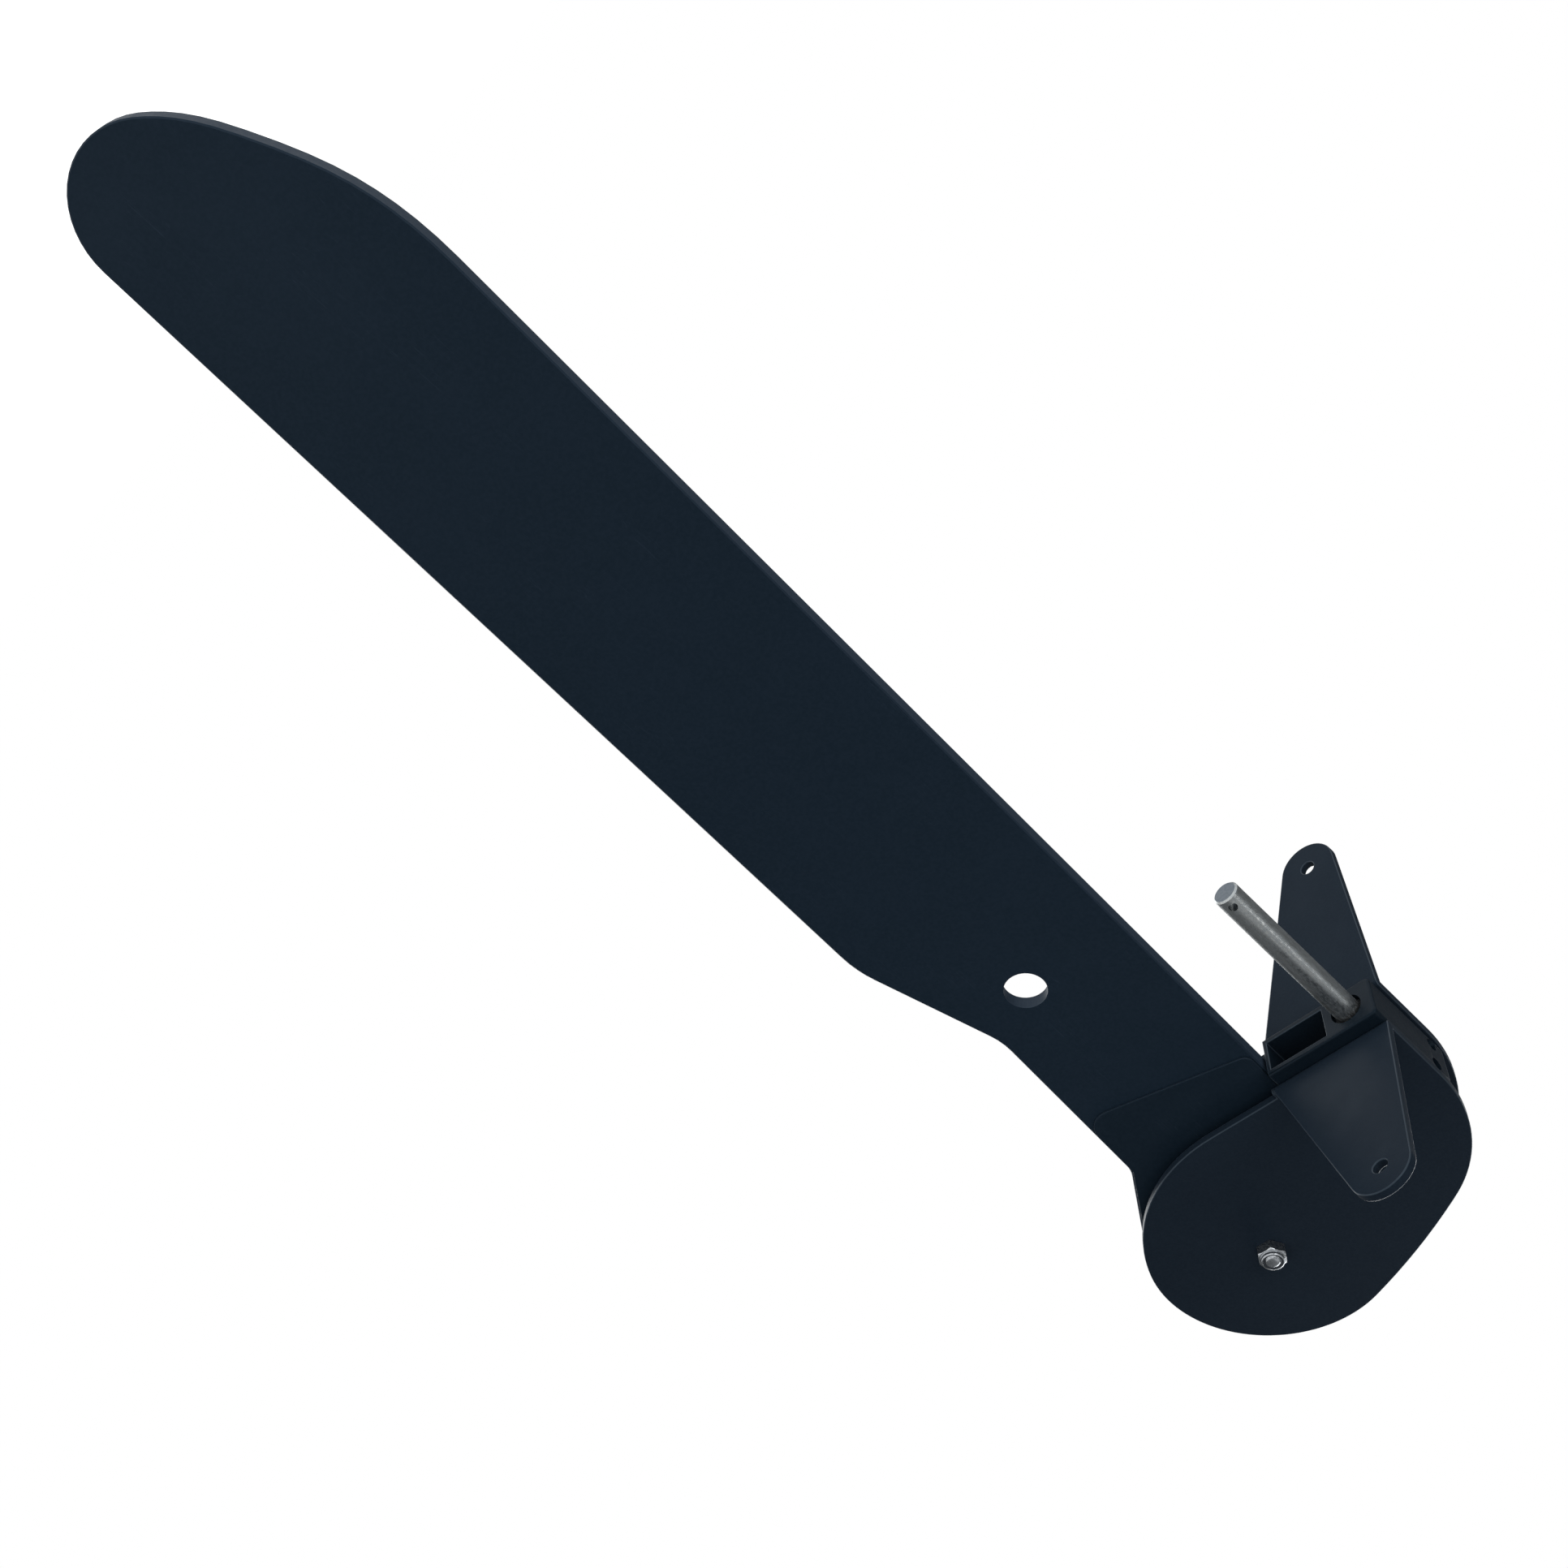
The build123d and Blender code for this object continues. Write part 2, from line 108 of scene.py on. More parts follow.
# ------------------------------------------------------------------ node helpers
class Wiring:
    """Adds nodes to one node tree and joins them."""

    def __init__(self, tree: bpy.types.NodeTree) -> None:
        """Start on a tree.

        Args:
            tree: The material's or the group's node tree.
        """
        self.tree = tree

    def add(self, kind: str, **settings: object) -> bpy.types.Node:
        """Add a node and set its properties.

        Args:
            kind: The node's type name.
            **settings: Properties of the node, by attribute name.

        Returns:
            The new node.
        """
        node = self.tree.nodes.new(kind)
        for key, value in settings.items():
            setattr(node, key, value)
        return node

    def join(self, source: bpy.types.NodeSocket, target: bpy.types.NodeSocket) -> None:
        """Link an output to an input."""
        self.tree.links.new(source, target)

    def fill(self, node: bpy.types.Node, values: dict[str | int, object]) -> None:
        """Set a node's inputs.

        Args:
            node: The node.
            values: A socket to join or a plain value for each input, by its name or place.
        """
        for key, value in values.items():
            if isinstance(value, bpy.types.NodeSocket):
                self.join(value, node.inputs[key])
            else:
                node.inputs[key].default_value = value

    def maths(self, operation: str, a: object, b: object = 0.0,
              clamp: bool = False) -> bpy.types.NodeSocket:
        """Combine two values.

        Args:
            operation: The Math node's operation.
            a: A number or an output socket.
            b: A number or an output socket.
            clamp: Whether the result is kept between 0 and 1.

        Returns:
            The result's socket.
        """
        node = self.add("ShaderNodeMath", operation=operation, use_clamp=clamp)
        self.fill(node, {0: a, 1: b})
        return node.outputs[0]

    def remap(self, value: bpy.types.NodeSocket, low: float, high: float, to_low: float = 0.0,
              to_high: float = 1.0) -> bpy.types.NodeSocket:
        """Stretch a value from one range to another, smoothly.

        Args:
            value: The socket to read.
            low: The value that becomes to_low.
            high: The value that becomes to_high.
            to_low: The result at low.
            to_high: The result at high.

        Returns:
            The result's socket.
        """
        node = self.add("ShaderNodeMapRange", interpolation_type="SMOOTHSTEP")
        self.fill(node, {"Value": value, "From Min": low, "From Max": high, "To Min": to_low,
                         "To Max": to_high})
        return node.outputs["Result"]

    def blend(self, mask: object, a: object, b: object) -> bpy.types.NodeSocket:
        """Mix two colours.

        Args:
            mask: A number or a socket, 0 for a and 1 for b.
            a: A colour or a colour socket.
            b: A colour or a colour socket.

        Returns:
            The colour's socket.
        """
        node = self.add("ShaderNodeMix", data_type="RGBA")
        a, b = ((*side, 1.0) if isinstance(side, tuple) else side for side in (a, b))
        self.fill(node, {0: mask, 6: a, 7: b})
        return node.outputs[2]

    def noise(self, vector: bpy.types.NodeSocket, scale: object, detail: float = 2.0,
              roughness: float = 0.5) -> bpy.types.NodeSocket:
        """Read fractal noise at a point.

        Args:
            vector: The point's socket.
            scale: Cells per metre, as a number or a socket.
            detail: Octaves.
            roughness: How strong the finer octaves are.

        Returns:
            The noise value's socket.
        """
        node = self.add("ShaderNodeTexNoise")
        self.fill(node, {"Vector": vector, "Scale": scale, "Detail": detail,
                         "Roughness": roughness})
        return node.outputs["Fac"]

    def stretched(self, vector: bpy.types.NodeSocket, scale: Triple,
                  turn: Triple = (0.0, 0.0, 0.0)) -> bpy.types.NodeSocket:
        """Scale and turn a point before a pattern reads it.

        Args:
            vector: The point's socket.
            scale: Scale along X, Y and Z.
            turn: Rotation about X, Y and Z in degrees.

        Returns:
            The new point's socket.
        """
        node = self.add("ShaderNodeMapping")
        self.fill(node, {"Vector": vector, "Scale": scale,
                         "Rotation": tuple(map(math.radians, turn))})
        return node.outputs["Vector"]


def new_group(
    name: str, inputs: tuple[tuple[str, str, object], ...], outputs: tuple[tuple[str, str], ...],
    kind: str = "ShaderNodeTree",
) -> tuple[bpy.types.NodeTree, Wiring, bpy.types.Node, bpy.types.Node]:
    """Start a node group with named sockets.

    Args:
        name: The group's name.
        inputs: Name, socket type and default value of each input.
        outputs: Name and socket type of each output.
        kind: The tree's type.

    Returns:
        The group's tree, its wiring, and its input and output nodes.
    """
    tree = bpy.data.node_groups.new(name, kind)
    for label, socket_type, default in inputs:
        socket = tree.interface.new_socket(label, in_out="INPUT", socket_type=socket_type)
        if default is not None:
            socket.default_value = default
    for label, socket_type in outputs:
        tree.interface.new_socket(label, in_out="OUTPUT", socket_type=socket_type)
    wiring = Wiring(tree)
    return tree, wiring, wiring.add("NodeGroupInput"), wiring.add("NodeGroupOutput")


class Effects:
    """The shader node groups that several finishes use, built once each."""

    def __init__(self) -> None:
        """Build every group."""
        self.grain = self._grain()
        self.scratches = self._scratches()
        self.handling = self._handling()
        self.cut_edge = self._cut_edge()
        self.lathe_marks = self._lathe_marks()

    @staticmethod
    def _grain() -> bpy.types.NodeTree:
        """Build the fine pebble of a powder coat or a moulded skin.

        Returns:
            The group, which puts out a height and a tone.
        """
        tree, w, given, out = new_group(
            "surface_grain",
            (("Vector", "NodeSocketVector", None), ("Scale", "NodeSocketFloat", 2500.0)),
            (("Height", "NodeSocketFloat"), ("Tone", "NodeSocketFloat")),
        )
        softness, steepness, speck_size, share = 0.7, 1.4, 0.45, 0.6
        point, scale = given.outputs["Vector"], given.outputs["Scale"]
        cells = w.add("ShaderNodeTexVoronoi", feature="SMOOTH_F1")
        w.fill(cells, {"Vector": point, "Scale": scale, "Smoothness": softness})
        speck = w.noise(point, w.maths("MULTIPLY", scale, speck_size), 3.0)
        pebble = w.maths("SUBTRACT", 1.0, w.maths("MULTIPLY", cells.outputs["Distance"], steepness))
        height = w.maths("ADD", w.maths("MULTIPLY", pebble, share),
                         w.maths("MULTIPLY", speck, share))
        w.fill(out, {"Height": height, "Tone": w.remap(speck, 0.3, 0.7)})
        return tree

    @staticmethod
    def _scratches() -> bpy.types.NodeTree:
        """Build thin, mostly parallel scratches from sliding over sand and decks.

        Returns:
            The group, which puts out a mask.
        """
        tree, w, given, out = new_group(
            "fine_scratches",
            (("Vector", "NodeSocketVector", None), ("Amount", "NodeSocketFloat", 0.5)),
            (("Mask", "NodeSocketFloat"),),
        )
        directions = ((18.0, 900.0, 14.0), (-31.0, 700.0, 20.0), (74.0, 800.0, 26.0))
        hairline, patches, patch_spread = 0.006, 38.0, 0.01
        total: object = 0.0
        for turn, across, along in directions:
            point = w.stretched(given.outputs["Vector"], (across, across, along), (0.0, turn, 0.0))
            off_line = w.maths("ABSOLUTE", w.maths("SUBTRACT", w.noise(point, 1.0, 0.0), 0.5))
            ridge = w.remap(off_line, 0.0, hairline, 1.0, 0.0)
            # each direction has its own patches, and the surface between them is clean
            spots = w.noise(given.outputs["Vector"], patches + across * patch_spread, 1.0)
            patch = w.remap(spots, 0.56, 0.68)
            total = w.maths("ADD", total, w.maths("MULTIPLY", ridge, patch))
        w.fill(out, {"Mask": w.maths("MULTIPLY", total, given.outputs["Amount"], clamp=True)})
        return tree

    @staticmethod
    def _handling() -> bpy.types.NodeTree:
        """Build the soft patches that hands and dried water leave.

        Returns:
            The group, which puts out a mask.
        """
        tree, w, given, out = new_group(
            "handling_marks",
            (("Vector", "NodeSocketVector", None),),
            (("Mask", "NodeSocketFloat"),),
        )
        broad_share = 0.75
        broad = w.noise(given.outputs["Vector"], 22.0, 4.0, 0.62)
        fine = w.noise(given.outputs["Vector"], 160.0, 3.0, 0.6)
        both = w.maths("ADD", w.maths("MULTIPLY", broad, broad_share),
                       w.maths("MULTIPLY", fine, 1.0 - broad_share))
        w.fill(out, {"Mask": w.remap(both, 0.42, 0.62)})
        return tree

    @staticmethod
    def _cut_edge() -> bpy.types.NodeTree:
        """Build the mask of the cut rim of a sheet that lies across an axis.

        Returns:
            The group, which puts out the rim's mask and the cutter's fine marks.
        """
        tree, w, given, out = new_group(
            "cut_rim",
            (("Vector", "NodeSocketVector", None), ("Normal", "NodeSocketVector", None)),
            (("Mask", "NodeSocketFloat"), ("Marks", "NodeSocketFloat")),
        )
        rim_facing, sheet_facing = 0.35, 0.93
        parts = w.add("ShaderNodeSeparateXYZ")
        w.fill(parts, {0: given.outputs["Normal"]})
        facing = w.maths("ABSOLUTE", parts.outputs["Y"])
        # the marks run across the sheet, as a cutter leaves them
        cutter = w.stretched(given.outputs["Vector"], (1500.0, 120.0, 1500.0))
        w.fill(out, {"Mask": w.remap(facing, rim_facing, sheet_facing, 1.0, 0.0),
                     "Marks": w.noise(cutter, 1.0, 1.0)})
        return tree

    @staticmethod
    def _lathe_marks() -> bpy.types.NodeTree:
        """Build the fine turning lines round a bar's axis, and its blotchy mill finish.

        Returns:
            The group, which puts out a height, a tone and blotches.
        """
        tree, w, given, out = new_group(
            "turning_lines",
            (("Vector", "NodeSocketVector", None), ("Scale", "NodeSocketFloat", 1.0)),
            (("Height", "NodeSocketFloat"), ("Tone", "NodeSocketFloat"),
             ("Blotches", "NodeSocketFloat")),
        )
        ring_share = 0.4
        scaled = w.add("ShaderNodeVectorMath", operation="SCALE")
        w.fill(scaled, {0: given.outputs["Vector"], "Scale": given.outputs["Scale"]})
        point = scaled.outputs["Vector"]
        rings = w.noise(w.stretched(point, (60.0, 60.0, 9000.0)), 1.0, 2.0)
        drawn = w.noise(w.stretched(point, (2600.0, 2600.0, 130.0)), 1.0, 3.0, 0.6)
        blotch = w.noise(point, 900.0, 6.0, 0.72)
        height = w.maths("ADD", w.maths("MULTIPLY", rings, ring_share),
                         w.maths("MULTIPLY", drawn, 1.0 - ring_share))
        w.fill(out, {"Height": height, "Tone": w.remap(drawn, 0.3, 0.7),
                     "Blotches": w.remap(blotch, 0.4, 0.6)})
        return tree


class Surface:
    """A material under construction, with its shader and its coordinates at hand."""

    def __init__(self, name: str) -> None:
        """Start an empty material.

        Args:
            name: The material's name.
        """
        self.material = bpy.data.materials.new(name)
        self.material.use_nodes = True
        tree = self.material.node_tree
        tree.nodes.clear()
        self.w = Wiring(tree)
        self.shader = self.w.add("ShaderNodeBsdfPrincipled")
        output = self.w.add("ShaderNodeOutputMaterial")
        self.w.join(self.shader.outputs["BSDF"], output.inputs["Surface"])
        place = self.w.add("ShaderNodeTexCoord")
        self.point = place.outputs["Object"]
        self.normal = place.outputs["Normal"]

    def effect(self, group: bpy.types.NodeTree, **values: object) -> bpy.types.Node:
        """Place a shared effect in the material.

        Args:
            group: The effect's node group.
            **values: Input values by name; the vector and normal inputs are joined here.

        Returns:
            The group's node.
        """
        node = self.w.add("ShaderNodeGroup", node_tree=group)
        self.w.join(self.point, node.inputs["Vector"])
        if "Normal" in node.inputs:
            self.w.join(self.normal, node.inputs["Normal"])
        for key, value in values.items():
            node.inputs[key.capitalize()].default_value = value
        return node

    def relief(self, *layers: tuple[bpy.types.NodeSocket, float, float]) -> None:
        """Chain bump layers into the shader's normal.

        Args:
            *layers: Height socket, strength and depth in metres of each layer.
        """
        previous = None
        for height, strength, depth in layers:
            bump = self.w.add("ShaderNodeBump")
            self.w.fill(bump, {"Strength": strength, "Distance": depth, "Height": height})
            if previous:
                self.w.join(previous, bump.inputs["Normal"])
            previous = bump.outputs["Normal"]
        self.w.join(previous, self.shader.inputs["Normal"])


# ---------------------------------------------------------------------- finishes
@dataclass(frozen=True)
class DarkFinish:
    """A satin navy-black skin: a powder coat on metal or a plastic that is dyed through."""

    name: str
    skin: Colour
    worn: Colour
    # the rim colour is the lighter tone of cut rims and scratches, and on the cut rim also a
    # painted highlight
    rim: Colour
    roughness: float
    grain_scale: float
    grain_depth: float
    scratches: float
    specular: float = 0.1
    rim_and_highlight_strength: float = 0.0
    grain: Grain = Grain.PEBBLE
    sheen_tint: Colour = (0.62, 0.82, 1.0)
    grain_tone: float = 0.35
    handled_tone: float = 0.22
    scratch_tone: float = 0.6
    grain_dulling: float = 0.06
    handled_dulling: float = -0.07
    rim_dulling: float = 0.12
    grain_bump: float = 0.55
    cast_scale: float = 700.0
    cast_bump: float = 0.5
    cast_depth: float = 0.06
    scratch_bump: float = 0.4
    scratch_depth: float = 0.02

    def build(self, effects: Effects) -> bpy.types.Material:
        """Build the material.

        Args:
            effects: The shared node groups.

        Returns:
            The material.
        """
        s = Surface(self.name)
        w = s.w
        grain = s.effect(effects.grain, scale=self.grain_scale)
        scratch = s.effect(effects.scratches, amount=self.scratches)
        marks = s.effect(effects.handling)
        rim = s.effect(effects.cut_edge)
        grainy = w.maths("MULTIPLY", grain.outputs["Tone"], self.grain_tone)
        touched = w.maths("MULTIPLY", marks.outputs["Mask"], self.handled_tone)
        scored = w.maths("MULTIPLY", scratch.outputs["Mask"], self.scratch_tone)
        tinted = w.blend(grainy, self.skin, self.worn)
        handled = w.blend(touched, tinted, self.worn)
        # the cutter's marks make the rim lighter and darker by a quarter
        uneven = w.maths("ADD", 0.75, w.maths("MULTIPLY", rim.outputs["Marks"], 0.5))
        # the lighter rim is partly the cut edge's own tone and partly a painted highlight along the
        # edge band
        rim_and_highlight_mask = w.maths("MULTIPLY", rim.outputs["Mask"], self.rim_and_highlight_strength)
        rim_and_highlight_mask = w.maths("MULTIPLY", rim_and_highlight_mask, uneven, clamp=True)
        rim_and_highlight_tinted = w.blend(rim_and_highlight_mask, handled, self.rim)
        colour = w.blend(scored, rim_and_highlight_tinted, self.rim)
        rough = w.maths("MULTIPLY", marks.outputs["Mask"], self.handled_dulling)
        rough = w.maths("ADD", self.roughness, rough)
        coarse = w.maths("MULTIPLY", grain.outputs["Tone"], self.grain_dulling)
        rough = w.maths("ADD", rough, coarse)
        rough = w.maths("ADD", rough, w.maths("MULTIPLY", rim_and_highlight_mask, self.rim_dulling), clamp=True)
        w.fill(s.shader, {"Base Color": colour, "Roughness": rough,
                          "Specular IOR Level": self.specular,
                          "Specular Tint": (*self.sheen_tint, 1.0)})
        layers = [(grain.outputs["Height"], self.grain_bump, self.grain_depth * MM)]
        if self.grain is Grain.CAST:
            cast = w.noise(s.point, self.cast_scale, 4.0, 0.6)
            layers.append((cast, self.cast_bump, self.cast_depth * MM))
        sunk = w.maths("MULTIPLY", scratch.outputs["Mask"], -1.0)
        layers.append((sunk, self.scratch_bump, self.scratch_depth * MM))
        s.relief(*layers)
        return s.material


@dataclass(frozen=True)
class SteelFinish:
    """Plain stainless steel, drawn or turned, with a dull blotchy mill skin."""

    name: str
    bright: Colour
    dull: Colour
    roughness: float
    scale: float
    lines: float
    # how strongly faces across the bar's axis take a painted shade
    painted_end_shade: float = 0.0
    end_shade: Colour = (0.095, 0.115, 0.138)
    end_facing: tuple[float, float] = (0.8, 0.97)
    line_tone: float = 0.5
    blotch_tone: float = 0.55
    stain_tone: float = 0.3
    line_dulling: float = 0.08
    blotch_dulling: float = 0.14
    line_depth: float = 0.012
    blotch_bump: float = 0.3
    blotch_depth: float = 0.01

    def build(self, effects: Effects) -> bpy.types.Material:
        """Build the material.

        Args:
            effects: The shared node groups.

        Returns:
            The material.
        """
        s = Surface(self.name)
        w = s.w
        turned = s.effect(effects.lathe_marks, scale=self.scale)
        marks = s.effect(effects.handling)
        height, tone, blotches = (turned.outputs[key] for key in ("Height", "Tone", "Blotches"))
        toned = w.blend(w.maths("MULTIPLY", tone, self.line_tone), self.bright, self.dull)
        blotched = w.blend(w.maths("MULTIPLY", blotches, self.blotch_tone), toned, self.dull)
        touched = w.maths("MULTIPLY", marks.outputs["Mask"], self.stain_tone)
        stained = w.blend(touched, blotched, self.dull)
        # faces across the bar's axis are darkened by a painted shade
        parts = w.add("ShaderNodeSeparateXYZ")
        w.fill(parts, {0: s.normal})
        end = w.remap(w.maths("ABSOLUTE", parts.outputs["Z"]), *self.end_facing, 0.0, self.painted_end_shade)
        rough = w.maths("ADD", self.roughness, w.maths("MULTIPLY", blotches, self.blotch_dulling))
        rough = w.maths("ADD", rough, w.maths("MULTIPLY", tone, self.line_dulling), clamp=True)
        w.fill(s.shader, {"Base Color": w.blend(end, stained, self.end_shade), "Roughness": rough,
                          "Metallic": 1.0})
        s.relief((height, self.lines, self.line_depth * MM),
                 (blotches, self.blotch_bump, self.blotch_depth * MM))
        return s.material


@dataclass(frozen=True)
class BearingPlastic:
    """Off-white or dark bearing plastic, turned and slightly waxy."""

    name: str
    skin: Colour
    shade: Colour
    roughness: float
    scale: float = 0.7
    line_tone: float = 0.4
    stain_tone: float = 0.5
    stain_dulling: float = 0.12
    wax: float = 0.04
    wax_depth: float = 0.6
    line_bump: float = 0.25
    line_depth: float = 0.01

    def build(self, effects: Effects) -> bpy.types.Material:
        """Build the material.

        Args:
            effects: The shared node groups.

        Returns:
            The material.
        """
        s = Surface(self.name)
        w = s.w
        turned = s.effect(effects.lathe_marks, scale=self.scale)
        stains = s.effect(effects.handling).outputs["Mask"]
        lines = w.maths("MULTIPLY", turned.outputs["Tone"], self.line_tone)
        toned = w.blend(lines, self.skin, self.shade)
        stained = w.blend(w.maths("MULTIPLY", stains, self.stain_tone), toned, self.shade)
        rough = w.maths("ADD", self.roughness, w.maths("MULTIPLY", stains, self.stain_dulling))
        w.fill(s.shader, {"Base Color": stained, "Roughness": rough, "Subsurface Weight": self.wax,
                          "Subsurface Scale": self.wax_depth * MM})
        s.relief((turned.outputs["Height"], self.line_bump, self.line_depth * MM))
        return s.material


class Finishes:
    """Every finish on the rudder."""

    def __init__(self) -> None:
        """Build the shared effects and the materials."""
        effects = Effects()
        # the blade's lighter cut rim is partly its own tone and partly a painted highlight
        self.blade = DarkFinish(
            "dyed_sheet_plastic",
            (0.0062, 0.0128, 0.0215), (0.011, 0.019, 0.031), (0.022, 0.034, 0.052), roughness=0.46,
            grain_scale=1900.0, grain_depth=0.016, scratches=0.5, rim_and_highlight_strength=0.75,
        ).build(effects)
        self.pad = DarkFinish(
            "slick_pad_plastic",
            (0.0050, 0.0102, 0.0170), (0.009, 0.016, 0.025), (0.030, 0.042, 0.06), roughness=0.42,
            grain_scale=1500.0, grain_depth=0.01, scratches=0.7, rim_and_highlight_strength=0.25,
        ).build(effects)
        self.coat = DarkFinish(
            "navy_black_powder_coat",
            (0.0072, 0.0122, 0.0195), (0.012, 0.019, 0.028), (0.032, 0.042, 0.056), roughness=0.42,
            grain_scale=2900.0, grain_depth=0.022, scratches=0.25, specular=0.045,
        ).build(effects)
        self.cast_coat = DarkFinish(
            "coated_casting",
            (0.0030, 0.0062, 0.0105), (0.0065, 0.0115, 0.0175), (0.03, 0.04, 0.052), roughness=0.44,
            grain=Grain.CAST, grain_scale=2600.0, grain_depth=0.03, scratches=0.2, specular=0.085,
        ).build(effects)
        # the rounded edges' lighter coat is a painted highlight, the thin light line that the edges
        # catch
        self.edge_highlight_coat = DarkFinish(
            "coat_on_rounded_edges",
            (0.015, 0.022, 0.031), (0.027, 0.037, 0.049), (0.05, 0.062, 0.078), roughness=0.36,
            grain_scale=2900.0, grain_depth=0.012, scratches=0.25, specular=0.22,
        ).build(effects)
        self.drum = DarkFinish(
            "black_drum_plastic",
            (0.009, 0.010, 0.012), (0.016, 0.017, 0.019), (0.05, 0.05, 0.052), roughness=0.38,
            grain_scale=1800.0, grain_depth=0.012, scratches=0.3, rim_and_highlight_strength=0.3,
        ).build(effects)
        # the pin's end faces carry a painted shade
        self.pin = SteelFinish(
            "drawn_pin_steel", (0.46, 0.47, 0.46), (0.28, 0.31, 0.33),
            roughness=0.29, scale=1.0, lines=0.45, painted_end_shade=0.92,
        ).build(effects)
        self.fastener = SteelFinish(
            "rolled_fastener_steel", (0.46, 0.48, 0.50), (0.31, 0.33, 0.35),
            roughness=0.2, scale=1.4, lines=0.2,
        ).build(effects)
        self.spring = SteelFinish(
            "spring_ring_steel", (0.36, 0.36, 0.37), (0.18, 0.18, 0.19),
            roughness=0.34, scale=1.2, lines=0.3,
        ).build(effects)
        self.bearing = BearingPlastic(
            "white_bearing_plastic", (0.62, 0.60, 0.53), (0.46, 0.44, 0.37), roughness=0.42,
        ).build(effects)
        self.insert = BearingPlastic(
            "dark_nylon", (0.022, 0.028, 0.036), (0.012, 0.016, 0.022), roughness=0.5,
        ).build(effects)


# ------------------------------------------------------------------ mesh helpers
def dress(obj: bpy.types.Object, material: bpy.types.Material,
          edges: bpy.types.Material | None = None) -> bpy.types.Object:
    """Give an object its finish, and its rounded edges another one.

    Args:
        obj: The object.
        material: The finish.
        edges: The finish of the faces that the rounding added, if they have their own.

    Returns:
        The same object.
    """
    if edges is None:
        # clearing the slots also sends every face back to the first one
        obj.data.materials.clear()
    obj.data.materials.append(material)
    if edges is not None:
        obj.data.materials.append(edges)
    return obj


def object_from(bm: bmesh.types.BMesh, name: str) -> bpy.types.Object:
    """Turn a bmesh into a linked object at the origin and free the bmesh.

    Args:
        bm: The mesh under construction.
        name: The object's name.

    Returns:
        The new object.
    """
    mesh = bpy.data.meshes.new(name)
    bm.to_mesh(mesh)
    bm.free()
    obj = bpy.data.objects.new(name, mesh)
    bpy.context.scene.collection.objects.link(obj)
    return obj


def shade(obj: bpy.types.Object, angle: float) -> None:
    """Smooth an object's shading except over sharp edges, with flat faces kept flat.

    Args:
        obj: The object.
        angle: The sharpest turn, in degrees, that is still smooth.
    """
    obj.data.shade_smooth()
    obj.data.set_sharp_from_angle(angle=math.radians(angle))
    modifier = obj.modifiers.new("flat_faces", "WEIGHTED_NORMAL")
    modifier.keep_sharp = True
    modifier.weight = FLAT_FACE_WEIGHT


def unfold(bm: bmesh.types.BMesh, rounds: int = 8) -> None:
    """Close up the tiny faces that a rounding has folded over their neighbours.

    Args:
        bm: The mesh under construction; it is left as triangles.
        rounds: How often to look again.
    """
    for _ in range(rounds):
        bmesh.ops.triangulate(bm, faces=bm.faces)
        bm.edges.index_update()
        folded = [e for e in bm.edges if len(e.link_faces) == 2 and e.calc_face_angle() > FOLDED]
        if not folded:
            return
        faces = [face for rim_and_highlight_mask in folded for face in rim_and_highlight_mask.link_faces]
        shortest = {min(face.edges, key=lambda e: e.calc_length()) for face in faces}
        bmesh.ops.collapse(bm, edges=sorted(shortest, key=lambda e: e.index))
        bmesh.ops.dissolve_degenerate(bm, edges=bm.edges, dist=SLIVER)


def eased_copy(source: bpy.types.Object, name: str, width: float,
               shortest: float = 0.0) -> bpy.types.Object:
    """Copy a node's mesh and round its sharp edges.

    Args:
        source: The CAD node's object, which is left as it is.
        name: The new object's name.
        width: How far the rounding reaches, in metres.
        shortest: Edges below this length, such as the rims of small holes, stay sharp.

    Returns:
        The new object.
    """
    bm = bmesh.new()
    bm.from_mesh(source.data)
    bmesh.ops.remove_doubles(bm, verts=bm.verts, dist=WELD)
    bmesh.ops.dissolve_limit(bm, angle_limit=FLAT, verts=bm.verts, edges=bm.edges)
    # edges much shorter than the rounding would fold over it
    bmesh.ops.remove_doubles(bm, verts=bm.verts, dist=width * SHORT_EDGE)
    sharp = [e for e in bm.edges
             if len(e.link_faces) == 2 and e.calc_face_angle() > SHARP
             and e.calc_length() > shortest]
    # the rounded faces take the second finish, which on the plates and the bracket is a painted
    # highlight
    bmesh.ops.bevel(bm, geom=sharp, offset=width, offset_type="OFFSET", segments=2, profile=0.5,
                    affect="EDGES", clamp_overlap=False, loop_slide=False, material=1)
    unfold(bm)
    bmesh.ops.recalc_face_normals(bm, faces=bm.faces)
    LOG.info("%s: %d sharp edges rounded", name, len(sharp))
    obj = object_from(bm, name)
    shade(obj, SMOOTH_PLATES)
    return obj


def bridge(bm: bmesh.types.BMesh, low: Ring, high: Ring) -> None:
    """Join two rings of vertices with faces; a ring of one vertex is a pole.

    Args:
        bm: The mesh under construction.
        low: The first ring.
        high: The second ring.
    """
    count = max(len(low), len(high))
    for i in range(count):
        j = (i + 1) % count
        corners = (low[i % len(low)], low[j % len(low)], high[j % len(high)], high[i % len(high)])
        bm.faces.new(list(dict.fromkeys(corners)))


def stand_in(piece: bpy.types.Object, node: str, body: Body) -> None:
    """Put a piece in a CAD node's place.

    Args:
        piece: The new piece.
        node: The CAD node that it stands for.
        body: The body that it rides on.
    """
    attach(piece, body.value)
    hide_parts(node)
    LOG.info("%s stands for %s", piece.name, node)


